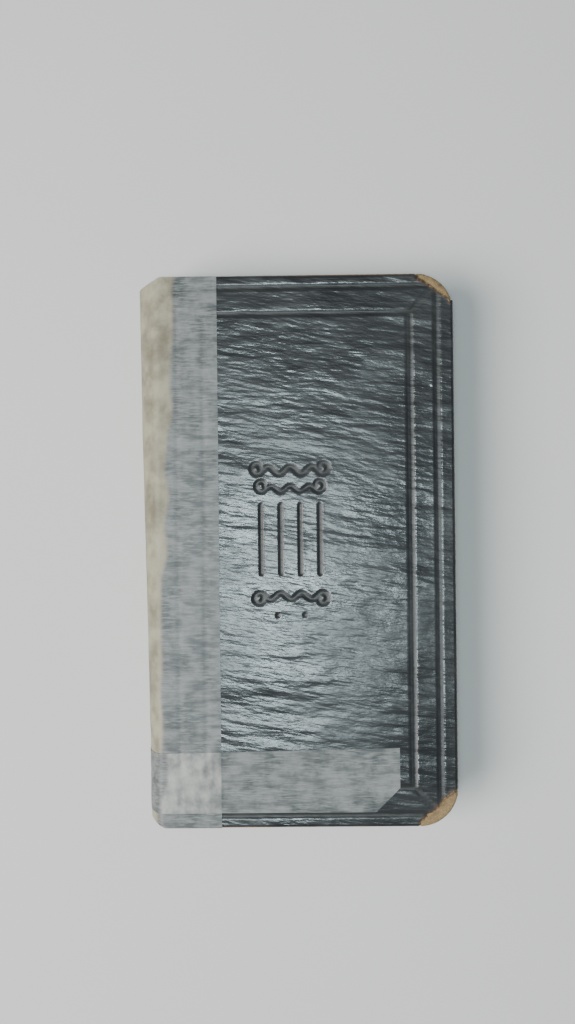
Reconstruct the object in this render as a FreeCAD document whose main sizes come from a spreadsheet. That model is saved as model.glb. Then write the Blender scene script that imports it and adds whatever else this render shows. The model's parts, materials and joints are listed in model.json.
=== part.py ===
"""Pocket prayer book, leather bound, lying closed on its back cover.

+Z is up, +Y points to the head of the book and the spine is at -X. The origin is under the middle
of the bounding box. The two hinge lines run along Y where the spine meets the covers, at the outer
surface of each cover. Everything that turns stays on the fore-edge side of its hinge line.
"""

import FreeCAD, Part
import math
import os
import Sketcher

DRIVING = {
    # covers
    "CoverLength": 138,
    "CoverReach": 74.5,
    "BoardThickness": 1.8,
    "LeatherThickness": 0.5,
    "TurnInThickness": 0.3,
    "TurnInWidth": 9,
    "JointGap": 2,
    "CornerRadius": 5.5,
    "HeadWear": 6.5,
    "TailWear": 8,
    # endpapers
    "PasteThickness": 0.15,
    "PasteMargin": 3,
    "FlyleafThickness": 0.12,
    "LeafAir": 0.05,
    # text block
    "ForeSquare": 3.2,
    "EndSquare": 3,
    "LeafCorner": 4,
    "SectionThickness": 0.78,
    "FoldClearance": 0.3,
    # spine
    "SpineBulge": 3,
    "LiningThickness": 0.3,
    "MullThickness": 0.15,
    "MullShort": 12,
    "SewingTapeThickness": 0.25,
    "SewingTapeWidth": 9,
    "SewingTapePitch": 40,
    "ThreadRadius": 0.1,
    "ThreadOffset": 0.4,
    "KettleInset": 8,
    "EndbandRadius": 0.6,
    "LayerClearance": 0.05,
    # blind tooling
    "GrooveDepth": 0.15,
    "GrooveWidth": 0.9,
    "FrameEndInset": 3.1,
    "FrameForeInset": 4.2,
    "FrameSpineInset": 3.4,
    "FrameGap": 6.6,
    "OrnamentX": 33.4,
    "OrnamentY": 3,
    "FluteCount": 4,
    "FluteSpacing": 4.9,
    "FluteLength": 17,
    "ScrollWidth": 20,
    "ScrollHeight": 3.2,
    "ScrollDistance": 17,
    # adhesive repair tape
    "TapeThickness": 0.12,
    "SpineTapeReach": 15.5,
    "TailTapeReach": 60,
    "TailTapeBackReach": 24,
    "TailTapeLow": 3.8,
    "TailTapeWidth": 15,
    "TailTapeCut": 6,
}
SECTION_COUNT = 12
TURNING_SECTIONS = 4
SEWING_TAPES = 3
FOLD_SHARE = 0.48  # radius of a section's fold, as a share of its thickness
CUTTER_MARGIN = 1  # how far a cutter runs past the faces it cuts
SAME_PLACE = 1e-3

document = FreeCAD.newDocument("prayer_book")
dims = document.addObject("Spreadsheet::Sheet", "dims")
for row, (alias, number) in enumerate(DRIVING.items(), start=1):
    dims.set(f"A{row}", alias)
    dims.set(f"B{row}", str(number))
    dims.setAlias(f"B{row}", alias)
document.recompute()

# Expressions that more than one piece uses.
HINGE = "(-(dims.CoverReach - dims.SpineBulge) / 2)"
FORE_EDGE = f"({HINGE} + dims.CoverReach)"
HALF = "(dims.CoverLength / 2)"
LEAF_WIDTH = "(dims.CoverReach - dims.FoldClearance - dims.ForeSquare)"
LEAF_HALF = f"({HALF} - dims.EndSquare)"
BOARD_LOW = "dims.LeatherThickness"
TURN_IN_LOW = f"({BOARD_LOW} + dims.BoardThickness)"
PASTE_LOW = f"({TURN_IN_LOW} + dims.TurnInThickness)"
PASTE_HIGH = f"({PASTE_LOW} + dims.PasteThickness)"
FLYLEAF_LOW = f"({PASTE_HIGH} + dims.LeafAir)"
TEXT_LOW = f"({FLYLEAF_LOW} + dims.FlyleafThickness + dims.LeafAir)"
TEXT_THICKNESS = f"({SECTION_COUNT} * dims.SectionThickness)"
THICKNESS = f"(2 * {TEXT_LOW} + {TEXT_THICKNESS})"

# The spine's section is an arc through both hinge lines, and its layers are concentric with it.
SPINE_RADIUS = f"(({THICKNESS} ^ 2 / 4 + dims.SpineBulge ^ 2) / (2 * dims.SpineBulge))"
SPINE_X = f"({HINGE} - dims.SpineBulge + {SPINE_RADIUS})"
TAPE_DEPTH = "dims.TapeThickness"
LEATHER_DEPTH = "(2 * dims.TapeThickness)"
LINING_DEPTH = f"({LEATHER_DEPTH} + dims.LeatherThickness)"
MULL_DEPTH = f"({LINING_DEPTH} + dims.LiningThickness)"
SEWING_DEPTH = f"({MULL_DEPTH} + dims.MullThickness)"
FOLD_RADIUS = f"({SPINE_RADIUS} - {SEWING_DEPTH} - dims.SewingTapeThickness - dims.LayerClearance)"

TAIL_TAPE_LOW = f"(-{HALF} + dims.TailTapeLow)"
TAIL_TAPE_HIGH = f"({TAIL_TAPE_LOW} + dims.TailTapeWidth)"
SPINE_TAPE_EDGE = f"({HINGE} + dims.SpineTapeReach)"

nodes = []


def value(text):
    """The number that an expression gives with the sizes in the sheet."""
    return float(dims.evalExpression(text))


def from_outside(side, depth, thickness):
    """The low face of a layer that starts at a depth under one cover's outer surface."""
    if side == "back":
        return f"({depth})"
    return f"({THICKNESS} - ({depth}) - ({thickness}))"


def keep(piece):
    """Lists a piece as one of the book's nodes."""
    nodes.append(piece)
    return piece


def add_body(label):
    body = document.addObject("PartDesign::Body", label)
    body.Label = label
    return keep(body)


def add_sketch(body, name, level):
    """A sketch parallel to the ground at a level."""
    sketch = body.newObject("Sketcher::SketchObject", name)
    plane = next(f for f in body.Origin.OriginFeatures if f.Role == "XY_Plane")
    sketch.AttachmentSupport = [(plane, "")]
    sketch.MapMode = "FlatFace"
    sketch.setExpression("AttachmentOffset.Base.z", level)
    return sketch


def bind(sketch, constraint, text):
    """Adds a constraint and ties its size to an expression."""
    index = sketch.addConstraint(constraint)
    name = f"{constraint.Type}{index}"
    sketch.renameConstraint(index, name)
    sketch.setExpression(f"Constraints.{name}", text)


def place_start(sketch, line, x=None, y=None):
    """Ties a line's start to its distances from the origin."""
    if x is not None:
        bind(sketch, Sketcher.Constraint("DistanceX", -1, 1, line, 1, value(x)), x)
    if y is not None:
        bind(sketch, Sketcher.Constraint("DistanceY", -1, 1, line, 1, value(y)), y)


def add_polygon(sketch, corners):
    """A closed outline of straight lines through (x, y) expressions."""
    points = [FreeCAD.Vector(value(x), value(y), 0) for x, y in corners]
    first = sketch.GeometryCount
    for here, there in zip(points, points[1:] + points[:1]):
        sketch.addGeometry(Part.LineSegment(here, there))
    for i, (x, y) in enumerate(corners):
        following = first + (i + 1) % len(corners)
        sketch.addConstraint(Sketcher.Constraint("Coincident", first + i, 2, following, 1))
        place_start(sketch, first + i, x, y)


def add_rectangle(sketch, x_low, x_high, y_low, y_high):
    add_polygon(sketch, [(x_low, y_low), (x_high, y_low), (x_high, y_high), (x_low, y_high)])


def add_rounded(sketch, x_low, x_high, y_low, y_high, radius):
    """A rectangle whose two fore-edge corners are round."""
    left, right, low, high, r = (value(t) for t in (x_low, x_high, y_low, y_high, radius))
    tail_centre = FreeCAD.Vector(right - r, low + r, 0)
    head_centre = FreeCAD.Vector(right - r, high - r, 0)
    normal = FreeCAD.Vector(0, 0, 1)
    corners = [
        FreeCAD.Vector(left, low, 0),
        FreeCAD.Vector(right - r, low, 0),
        FreeCAD.Vector(right, low + r, 0),
        FreeCAD.Vector(right, high - r, 0),
        FreeCAD.Vector(right - r, high, 0),
        FreeCAD.Vector(left, high, 0),
    ]
    tail, tail_arc, fore, head_arc, head, spine = range(6)
    sketch.addGeometry(Part.LineSegment(corners[0], corners[1]))
    sketch.addGeometry(Part.ArcOfCircle(Part.Circle(tail_centre, normal, r), -math.pi / 2, 0))
    sketch.addGeometry(Part.LineSegment(corners[2], corners[3]))
    sketch.addGeometry(Part.ArcOfCircle(Part.Circle(head_centre, normal, r), 0, math.pi / 2))
    sketch.addGeometry(Part.LineSegment(corners[4], corners[5]))
    sketch.addGeometry(Part.LineSegment(corners[5], corners[0]))
    for here, there in ((tail, tail_arc), (tail_arc, fore), (fore, head_arc), (head_arc, head)):
        sketch.addConstraint(Sketcher.Constraint("Tangent", here, 2, there, 1))
    for here, there in ((head, spine), (spine, tail)):
        sketch.addConstraint(Sketcher.Constraint("Coincident", here, 2, there, 1))
    for line, kind in ((tail, "Horizontal"), (fore, "Vertical"), (head, "Horizontal"), (spine, "Vertical")):
        sketch.addConstraint(Sketcher.Constraint(kind, line))
    sketch.addConstraint(Sketcher.Constraint("Equal", tail_arc, head_arc))
    bind(sketch, Sketcher.Constraint("Radius", tail_arc, r), radius)
    place_start(sketch, spine, x=x_low)
    place_start(sketch, fore, x=x_high)
    place_start(sketch, tail, y=y_low)
    place_start(sketch, head, y=y_high)


def pad(body, sketch, thickness):
    feature = body.newObject("PartDesign::Pad", "Pad")
    feature.Profile = sketch
    feature.setExpression("Length", thickness)
    document.recompute()
    return feature


def pocket(body, sketch, thickness):
    """Cuts upwards from the sketch, and checks that something was cut."""
    before = body.Shape.Volume
    feature = body.newObject("PartDesign::Pocket", "Pocket")
    feature.Profile = sketch
    feature.Reversed = True
    feature.setExpression("Length", thickness)
    document.recompute()
    if not body.Shape.Volume < before:
        raise RuntimeError(f"{body.Label}: {sketch.Name} cuts nothing")
    return feature


def box(name, x_low, x_high, y_low, y_high, z_low, z_high):
    """A plain block between expressions, used as a cutter or a limit."""
    block = document.addObject("Part::Box", name)
    for size, place, low, high in (
        ("Length", "x", x_low, x_high),
        ("Width", "y", y_low, y_high),
        ("Height", "z", z_low, z_high),
    ):
        block.setExpression(size, f"{high} - ({low})")
        block.setExpression(f"Placement.Base.{place}", low)
    return block


# ---------------------------------------------------------------- covers


def board(side):
    """Stiff board with its two fore-edge corners rounded."""
    body = add_body(f"{side}_board")
    level = from_outside(side, BOARD_LOW, "dims.BoardThickness")
    sketch = add_sketch(body, "Outline", level)
    edge = "dims.LeatherThickness"
    add_rounded(
        sketch,
        f"{HINGE} + dims.JointGap",
        f"{FORE_EDGE} - {edge}",
        f"-({HALF} - {edge})",
        f"{HALF} - {edge}",
        f"dims.CornerRadius - {edge}",
    )
    pad(body, sketch, "dims.BoardThickness")


def cut_board_space(body, side):
    """Leaves the leather as a skin round the board, turned in over the board's inner face."""
    edge = "dims.LeatherThickness"
    sketch = add_sketch(body, "BoardSpace", from_outside(side, BOARD_LOW, "dims.BoardThickness"))
    add_rounded(
        sketch,
        HINGE,
        f"{FORE_EDGE} - {edge}",
        f"-({HALF} - {edge})",
        f"{HALF} - {edge}",
        f"dims.CornerRadius - {edge}",
    )
    pocket(body, sketch, "dims.BoardThickness")
    sketch = add_sketch(body, "TurnInWindow", from_outside(side, TURN_IN_LOW, "dims.TurnInThickness"))
    add_rectangle(
        sketch,
        HINGE,
        f"{FORE_EDGE} - dims.TurnInWidth",
        f"-({HALF} - dims.TurnInWidth)",
        f"{HALF} - dims.TurnInWidth",
    )
    pocket(body, sketch, "dims.TurnInThickness")


def frame_line(further):
    """The four edges of a tooled line, a distance further in than the border's outer line."""
    return (
        f"{HINGE} + dims.JointGap + dims.FrameSpineInset + {further}",
        f"{FORE_EDGE} - dims.FrameForeInset - {further}",
        f"-({HALF} - dims.FrameEndInset - {further})",
        f"{HALF} - dims.FrameEndInset - {further}",
    )


def cut_frame(body, side):
    """Two blind-tooled lines round the cover, joined by mitres at the fore-edge corners."""
    level = from_outside(side, "0", "dims.GrooveDepth")
    sketch = add_sketch(body, "Frame", level)
    for inner in ("0", "dims.FrameGap"):
        add_rectangle(sketch, *frame_line(inner))
        add_rectangle(sketch, *frame_line(f"({inner} + dims.GrooveWidth)"))
    pocket(body, sketch, "dims.GrooveDepth")
    corner_x = f"({FORE_EDGE} - dims.FrameForeInset)"
    corner_y = f"({HALF} - dims.FrameEndInset)"
    start = "(dims.GrooveWidth / 4)"
    end = f"(dims.FrameGap + {start})"
    for name, sign in (("HeadMitre", 1), ("TailMitre", -1)):
        sketch = add_sketch(body, name, level)
        add_polygon(
            sketch,
            [
                (f"{corner_x} - {start}", f"{sign} * ({corner_y} - {start} - dims.GrooveWidth)"),
                (f"{corner_x} - {start} - dims.GrooveWidth", f"{sign} * ({corner_y} - {start})"),
                (f"{corner_x} - {end} - dims.GrooveWidth", f"{sign} * ({corner_y} - {end})"),
                (f"{corner_x} - {end}", f"{sign} * ({corner_y} - {end} - dims.GrooveWidth)"),
            ],
        )
        pocket(body, sketch, "dims.GrooveDepth")


def cut_ornament(body, side):
    """A plain centre ornament: upright flutes between an upper and a lower band."""
    level = from_outside(side, "0", "dims.GrooveDepth")
    sketch = add_sketch(body, "Ornament", level)
    middle = f"({HINGE} + dims.OrnamentX)"
    for i in range(int(DRIVING["FluteCount"])):
        flute = f"({middle} + ({i} - (dims.FluteCount - 1) / 2) * dims.FluteSpacing)"
        add_rectangle(
            sketch,
            f"{flute} - dims.GrooveWidth / 2",
            f"{flute} + dims.GrooveWidth / 2",
            "dims.OrnamentY - dims.FluteLength / 2",
            "dims.OrnamentY + dims.FluteLength / 2",
        )
    for sign in (1, -1):
        band = f"(dims.OrnamentY + {sign} * dims.ScrollDistance)"
        add_rectangle(
            sketch,
            f"{middle} - dims.ScrollWidth / 2",
            f"{middle} + dims.ScrollWidth / 2",
            f"{band} - dims.ScrollHeight / 2",
            f"{band} + dims.ScrollHeight / 2",
        )
    pocket(body, sketch, "dims.GrooveDepth")


def cut_worn_corners(body, side):
    """The leather is worn away from the board at the two fore-edge corners."""
    depth = "(dims.LeatherThickness + dims.BoardThickness)"
    for name, sign, wear in (("HeadWear", 1, "dims.HeadWear"), ("TailWear", -1, "dims.TailWear")):
        sketch = add_sketch(body, name, from_outside(side, "0", depth))
        add_polygon(
            sketch,
            [
                (f"{FORE_EDGE} - {wear}", f"{sign} * ({HALF} + {CUTTER_MARGIN})"),
                (f"{FORE_EDGE} + {CUTTER_MARGIN}", f"{sign} * ({HALF} + {CUTTER_MARGIN})"),
                (f"{FORE_EDGE} + {CUTTER_MARGIN}", f"{sign} * ({HALF} - {wear})"),
                (FORE_EDGE, f"{sign} * ({HALF} - {wear})"),
                (f"{FORE_EDGE} - {wear}", f"{sign} * {HALF}"),
            ],
        )
        pocket(body, sketch, depth)


def tail_tape_outline(side, start):
    """The corners of the strip across the tail, from x = start to its free end."""
    if side == "back":
        end = f"({HINGE} + dims.TailTapeBackReach)"
        return [
            (start, TAIL_TAPE_LOW),
            (end, TAIL_TAPE_LOW),
            (end, TAIL_TAPE_HIGH),
            (start, TAIL_TAPE_HIGH),
        ]
    end = f"({HINGE} + dims.TailTapeReach)"
    return [
        (start, TAIL_TAPE_LOW),
        (f"{end} - dims.TailTapeCut", TAIL_TAPE_LOW),
        (end, f"{TAIL_TAPE_LOW} + dims.TailTapeCut"),
        (end, TAIL_TAPE_HIGH),
        (start, TAIL_TAPE_HIGH),
    ]


def cut_tape_beds(body, side):
    """The old tape has pressed into the leather by its own thickness."""
    sketch = add_sketch(body, "SpineTapeBed", from_outside(side, "0", LEATHER_DEPTH))
    add_rectangle(sketch, HINGE, SPINE_TAPE_EDGE, f"-{HALF}", HALF)
    pocket(body, sketch, LEATHER_DEPTH)
    sketch = add_sketch(body, "TailTapeBed", from_outside(side, "0", TAPE_DEPTH))
    add_polygon(sketch, tail_tape_outline(side, SPINE_TAPE_EDGE))
    pocket(body, sketch, TAPE_DEPTH)


def leather(side):
    """Leather skin of one cover: outer face, edges and turn-ins."""
    body = add_body(f"{side}_leather")
    sketch = add_sketch(body, "Outline", from_outside(side, "0", PASTE_LOW))
    add_rounded(sketch, HINGE, FORE_EDGE, f"-{HALF}", HALF, "dims.CornerRadius")
    pad(body, sketch, PASTE_LOW)
    cut_board_space(body, side)
    cut_frame(body, side)
    if side == "front":
        cut_ornament(body, side)
        cut_worn_corners(body, side)
    cut_tape_beds(body, side)


def pastedown(side):
    """Endpaper leaf glued inside a cover: it steps down from the turn-ins to the board."""
    body = add_body(f"{side}_pastedown")
    sketch = add_sketch(body, "OverTurnIns", from_outside(side, PASTE_LOW, "dims.PasteThickness"))
    add_rounded(
        sketch,
        f"{HINGE} + dims.JointGap",
        f"{FORE_EDGE} - dims.PasteMargin",
        f"-({HALF} - dims.PasteMargin)",
        f"{HALF} - dims.PasteMargin",
        "dims.LeafCorner",
    )
    pad(body, sketch, "dims.PasteThickness")
    sketch = add_sketch(body, "OnBoard", from_outside(side, TURN_IN_LOW, "dims.TurnInThickness"))
    window = (
        f"{HINGE} + dims.JointGap",
        f"{FORE_EDGE} - dims.TurnInWidth",
        f"-({HALF} - dims.TurnInWidth)",
        f"{HALF} - dims.TurnInWidth",
    )
    add_rectangle(sketch, *window)
    pad(body, sketch, "dims.TurnInThickness")
    level = f"({TURN_IN_LOW} + dims.PasteThickness)"
    sketch = add_sketch(body, "Step", from_outside(side, level, "dims.TurnInThickness"))
    wall = "dims.PasteThickness"
    add_rectangle(
        sketch,
        f"{window[0]} + {wall}",
        f"{window[1]} - {wall}",
        f"{window[2]} + {wall}",
        f"{window[3]} - {wall}",
    )
    pocket(body, sketch, "dims.TurnInThickness")


def spine_tape_flap(side):
    """The part of the spine tape that lies on one cover, under the tail tape."""
    body = add_body(f"spine_tape_{side}_flap")
    sketch = add_sketch(body, "Outline", from_outside(side, TAPE_DEPTH, TAPE_DEPTH))
    add_rectangle(sketch, HINGE, SPINE_TAPE_EDGE, f"-{HALF}", HALF)
    pad(body, sketch, TAPE_DEPTH)


def tail_tape_flap(side):
    """The part of the tail tape that lies on one cover."""
    body = add_body(f"tail_tape_{side}_flap")
    sketch = add_sketch(body, "Outline", from_outside(side, "0", TAPE_DEPTH))
    add_polygon(sketch, tail_tape_outline(side, HINGE))
    pad(body, sketch, TAPE_DEPTH)


def flyleaf(side):
    """Free endpaper leaf beside the text block."""
    body = add_body(f"{side}_flyleaf")
    sketch = add_sketch(body, "Outline", from_outside(side, FLYLEAF_LOW, "dims.FlyleafThickness"))
    start = f"({HINGE} + dims.FoldClearance)"
    add_rounded(sketch, start, f"{start} + {LEAF_WIDTH}", f"-{LEAF_HALF}", LEAF_HALF, "dims.LeafCorner")
    pad(body, sketch, "dims.FlyleafThickness")


# ---------------------------------------------------------------- text block


def section(number):
    """One sewn section, counted from the front: folded leaves with a round fold."""
    body = add_body(f"section_{number:02d}")
    low = f"({TEXT_LOW} + {SECTION_COUNT - number} * dims.SectionThickness)"
    turning = f"({HINGE} + dims.FoldClearance)"
    if number <= TURNING_SECTIONS:
        fold = turning
    else:
        middle = f"({THICKNESS} / 2)"
        above = f"abs({low} + dims.SectionThickness - {middle})"
        below = f"abs({low} - {middle})"
        fold = f"({SPINE_X} - sqrt({FOLD_RADIUS} ^ 2 - max({above}; {below}) ^ 2))"
    sketch = add_sketch(body, "Leaves", low)
    add_rounded(sketch, fold, f"{fold} + {LEAF_WIDTH}", f"-{LEAF_HALF}", LEAF_HALF, "dims.LeafCorner")
    block = pad(body, sketch, "dims.SectionThickness")
    fold_x = value(fold)
    edges = [
        f"Edge{i}"
        for i, edge in enumerate(block.Shape.Edges, start=1)
        if edge.BoundBox.XMax < fold_x + SAME_PLACE
        and edge.BoundBox.YLength > 2 * value(LEAF_HALF) - SAME_PLACE
    ]
    rounding = body.newObject("PartDesign::Fillet", "Fold")
    rounding.Base = (block, edges)
    rounding.setExpression("Radius", f"{FOLD_SHARE} * dims.SectionThickness")
    document.recompute()


def spine_layer(label, depth, thickness, y_low, y_high):
    """A layer of the spine, concentric with its outer arc and cut off at the hinge lines."""
    shells = []
    for name, cut in (("Outer", depth), ("Inner", f"({depth} + {thickness})")):
        drum = document.addObject("Part::Cylinder", f"{name}_{label}")
        drum.setExpression("Radius", f"{SPINE_RADIUS} - {cut}")
        drum.setExpression("Height", f"{y_high} - ({y_low})")
        drum.Placement.Rotation = FreeCAD.Rotation(FreeCAD.Vector(1, 0, 0), -90)
        drum.setExpression("Placement.Base.x", SPINE_X)
        drum.setExpression("Placement.Base.y", y_low)
        drum.setExpression("Placement.Base.z", f"{THICKNESS} / 2")
        shells.append(drum)
    ring = document.addObject("Part::Cut", f"Ring_{label}")
    ring.Base, ring.Tool = shells
    beyond = f"{HINGE} - dims.SpineBulge - {CUTTER_MARGIN}"
    limit = box(f"Limit_{label}", beyond, HINGE, f"-{HALF}", HALF, "0", THICKNESS)
    layer = document.addObject("Part::Common", label)
    layer.Base, layer.Tool = ring, limit
    layer.Label = label
    return keep(layer)


def spine_roll(name, y, depth, radius):
    """A round cord that follows the spine's rounding from the first section to the last."""
    roll = document.addObject("Part::Torus", name)
    centreline = f"({SPINE_RADIUS} - {depth} - {radius})"
    half_sweep = f"asin({TEXT_THICKNESS} / 2 / {centreline})"
    roll.setExpression("Radius1", centreline)
    roll.setExpression("Radius2", radius)
    roll.setExpression("Angle3", f"2 * {half_sweep}")
    half = math.degrees(math.asin(value(f"{TEXT_THICKNESS} / 2 / {centreline}")))
    to_y = FreeCAD.Rotation(FreeCAD.Vector(1, 0, 0), -90)
    turn = FreeCAD.Rotation(FreeCAD.Vector(0, 1, 0), 180 - half)
    roll.Placement.Rotation = turn.multiply(to_y)
    roll.setExpression("Placement.Base.x", SPINE_X)
    roll.setExpression("Placement.Base.y", y)
    roll.setExpression("Placement.Base.z", f"{THICKNESS} / 2")
    return roll


def sewing_tape_y(index):
    """The middle of one sewing tape, counted from the head."""
    return f"({(SEWING_TAPES - 1) / 2 - index} * dims.SewingTapePitch)"


def sewing_tapes():
    for index in range(SEWING_TAPES):
        middle = sewing_tape_y(index)
        spine_layer(
            f"sewing_tape_{index + 1}",
            SEWING_DEPTH,
            "dims.SewingTapeThickness",
            f"({middle} - dims.SewingTapeWidth / 2)",
            f"({middle} + dims.SewingTapeWidth / 2)",
        )


def sewing_thread():
    """Thread on the backs of the folds: kettle stitches, and a stitch beside each tape's edges."""
    kettle = f"({LEAF_HALF} - dims.KettleInset)"
    stations = [kettle, f"-{kettle}"]
    beside = "(dims.SewingTapeWidth / 2 + dims.ThreadOffset)"
    for index in range(SEWING_TAPES):
        stations += [f"({sewing_tape_y(index)} + {sign} * {beside})" for sign in (1, -1)]
    depth = f"({SEWING_DEPTH} + dims.LayerClearance / 2)"
    rolls = [spine_roll(f"Stitch{i}", y, depth, "dims.ThreadRadius") for i, y in enumerate(stations)]
    thread = document.addObject("Part::Compound", "sewing_thread")
    thread.Links = rolls
    thread.Label = "sewing_thread"
    keep(thread)


def endbands():
    for label, sign in (("head_endband", 1), ("tail_endband", -1)):
        y = f"{sign} * ({LEAF_HALF} + dims.EndbandRadius + dims.LayerClearance)"
        depth = f"({MULL_DEPTH} + dims.LayerClearance)"
        band = spine_roll(label, y, depth, "dims.EndbandRadius")
        band.Label = label
        keep(band)


def spine():
    """Spine coverings from the folds outwards, all moving with the text block."""
    sewing_tapes()
    sewing_thread()
    short = f"({LEAF_HALF} - dims.MullShort)"
    spine_layer("spine_mull", MULL_DEPTH, "dims.MullThickness", f"-{short}", short)
    spine_layer("spine_lining", LINING_DEPTH, "dims.LiningThickness", f"-{LEAF_HALF}", LEAF_HALF)
    spine_layer("spine_leather", LEATHER_DEPTH, "dims.LeatherThickness", f"-{HALF}", HALF)
    spine_layer("spine_tape_wrap", TAPE_DEPTH, "dims.TapeThickness", f"-{HALF}", HALF)
    spine_layer("tail_tape_wrap", "0", "dims.TapeThickness", TAIL_TAPE_LOW, TAIL_TAPE_HIGH)


for cover in ("back", "front"):
    board(cover)
    leather(cover)
    pastedown(cover)
    spine_tape_flap(cover)
    tail_tape_flap(cover)
    flyleaf(cover)
for section_number in range(1, SECTION_COUNT + 1):
    section(section_number)
spine()
endbands()
document.recompute()

for item in document.Objects:
    if "Invalid" in item.State or "Error" in item.State:
        raise RuntimeError(f"{item.Label} failed: {item.State}")
for node in nodes:
    if node.Shape.isNull() or not node.Shape.isValid():
        raise RuntimeError(f"{node.Label} has no valid shape")

os.makedirs("parts", exist_ok=True)
for node in nodes:
    node.Shape.exportStep(f"parts/{node.Label}.step")
    bounds = node.Shape.BoundBox
    print(
        f"{node.Label:24s} solids {len(node.Shape.Solids):2d} volume {node.Shape.Volume:10.2f}"
        f" x {bounds.XMin:7.2f} {bounds.XMax:7.2f} y {bounds.YMin:7.2f} {bounds.YMax:7.2f}"
        f" z {bounds.ZMin:6.2f} {bounds.ZMax:6.2f}"
    )
print(f"hinge x {value(HINGE):.4f}, thickness {value(THICKNESS):.4f}")
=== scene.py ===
"""Looks of a pocket prayer book in worn black leather, mended along spine and tail with adhesive tape.

Lengths in the shape functions are millimetres and become metres in Shape.make. The front cover's
coordinates are used for both covers: depth is measured inwards from a cover's outer face, and the
back cover is the mirror image of the front one about the middle of the book's thickness.
"""

import json
import math

import bmesh
import bpy
import numpy as np
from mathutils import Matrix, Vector

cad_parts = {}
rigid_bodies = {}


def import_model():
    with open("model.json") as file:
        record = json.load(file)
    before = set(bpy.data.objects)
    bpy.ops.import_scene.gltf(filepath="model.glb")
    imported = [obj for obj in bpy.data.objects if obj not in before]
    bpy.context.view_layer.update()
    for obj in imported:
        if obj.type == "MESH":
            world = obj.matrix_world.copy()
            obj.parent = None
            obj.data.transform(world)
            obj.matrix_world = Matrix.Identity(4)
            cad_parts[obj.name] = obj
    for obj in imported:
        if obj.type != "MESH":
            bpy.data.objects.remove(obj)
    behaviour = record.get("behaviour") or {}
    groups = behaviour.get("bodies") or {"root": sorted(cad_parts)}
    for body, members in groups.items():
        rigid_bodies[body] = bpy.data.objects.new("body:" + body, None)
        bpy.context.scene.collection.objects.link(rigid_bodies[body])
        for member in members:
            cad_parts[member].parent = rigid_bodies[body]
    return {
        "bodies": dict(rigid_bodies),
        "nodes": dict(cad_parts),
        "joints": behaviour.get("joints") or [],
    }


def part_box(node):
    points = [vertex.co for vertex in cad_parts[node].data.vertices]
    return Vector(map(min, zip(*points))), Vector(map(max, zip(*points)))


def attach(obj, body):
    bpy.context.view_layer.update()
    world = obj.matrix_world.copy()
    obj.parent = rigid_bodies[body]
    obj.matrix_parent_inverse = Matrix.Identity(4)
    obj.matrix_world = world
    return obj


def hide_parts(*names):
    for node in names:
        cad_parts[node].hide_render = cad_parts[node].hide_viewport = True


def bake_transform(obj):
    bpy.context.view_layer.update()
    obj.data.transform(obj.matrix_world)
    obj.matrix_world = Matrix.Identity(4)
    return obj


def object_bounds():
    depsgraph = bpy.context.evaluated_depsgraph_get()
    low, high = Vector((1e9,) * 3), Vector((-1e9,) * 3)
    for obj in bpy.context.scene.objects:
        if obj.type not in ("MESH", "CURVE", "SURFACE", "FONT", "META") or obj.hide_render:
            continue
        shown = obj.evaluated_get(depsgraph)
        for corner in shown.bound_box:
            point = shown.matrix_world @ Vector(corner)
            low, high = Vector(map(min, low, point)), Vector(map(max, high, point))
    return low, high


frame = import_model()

cad_low, cad_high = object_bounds()

MM = 0.001
JOINTS = {joint["name"]: joint for joint in frame["joints"]}


def node_box(node):
    """Lowest and highest corner of a CAD node, in millimetres."""
    low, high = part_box(node)
    return low / MM, high / MM


# ------------------------------------------------------------------ sizes from the frame

HINGE = JOINTS["front_cover_hinge"]["pos_m"][0] / MM
TOP = JOINTS["front_cover_hinge"]["pos_m"][2] / MM
MIDDLE = TOP / 2
FORE = cad_high.x / MM
HALF = cad_high.y / MM
BULGE = HINGE - cad_low.x / MM
SPINE_RADIUS = (MIDDLE ** 2 + BULGE ** 2) / (2 * BULGE)
SPINE_CENTRE = HINGE - BULGE + SPINE_RADIUS
BOARD_LOW, BOARD_HIGH = node_box("front_board")
LEATHER = TOP - BOARD_HIGH.z
SKIN = TOP - node_box("front_leather")[0].z
PASTE_LOW, PASTE_HIGH = node_box("front_pastedown")
SPINE_TAPE_EDGE = node_box("spine_tape_front_flap")[1].x
TAIL_TAPE = {side: node_box(f"tail_tape_{side}_flap") for side in ("front", "back")}
LEAF_LOW, LEAF_HIGH = node_box("section_01")

# ------------------------------------------------------------------ sizes of the looks

CORNER = 5.5          # plan radius of the leather's fore-edge corners
EDGE = 0.8            # radius of the leather where it turns over the board's edge
SPINE_SKIN = 1.0      # leather and its turn-in at head and tail of the spine
JOINT_SOFTNESS = 0.9  # how softly the spine runs into the covers
TURN_IN = 9.0         # width of the leather turned in over the boards
SPINE_TURN_IN = 2.2
CORNER_TURN_IN = 4.4
LINE_WIDTH = 1.1      # blind-tooled lines
LINE_DEPTH = 0.26
FORE_LINES = (4.2, 10.8)  # insets of the tooled lines from the fore-edge
END_LINES = (3.1, 9.7)    # and from head and tail
SPINE_LINES = (5.4, 12)   # and from the hinge
ORNAMENT = (-2.35, 3.0)
ORNAMENT_HALF = (13, 24)
ORNAMENT_DEPTH = 0.3
FLUTES = 4
FLUTE_PITCH = 4.9
FLUTE_HALF = 8.5
FLUTE_WIDTH = 0.85
SCROLLS = (            # half width, height, wave height, line width
    (8.2, 17.2, 0.9, 1.15),
    (7.2, 12.6, 0.7, 0.9),
    (7.8, -14.2, 0.8, 1.1),
)
SCROLL_WAVES = 3
CURL = 1.5             # radius of a scroll's ends
DOT = (3.4, -19.0)
DOT_WIDTH = 0.9
WRINKLE_SLANT = math.radians(8)
HEAD_DROP = 2.4       # how much lower the worn spine ends are than the covers
TAIL_DROP = 1.6
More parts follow.
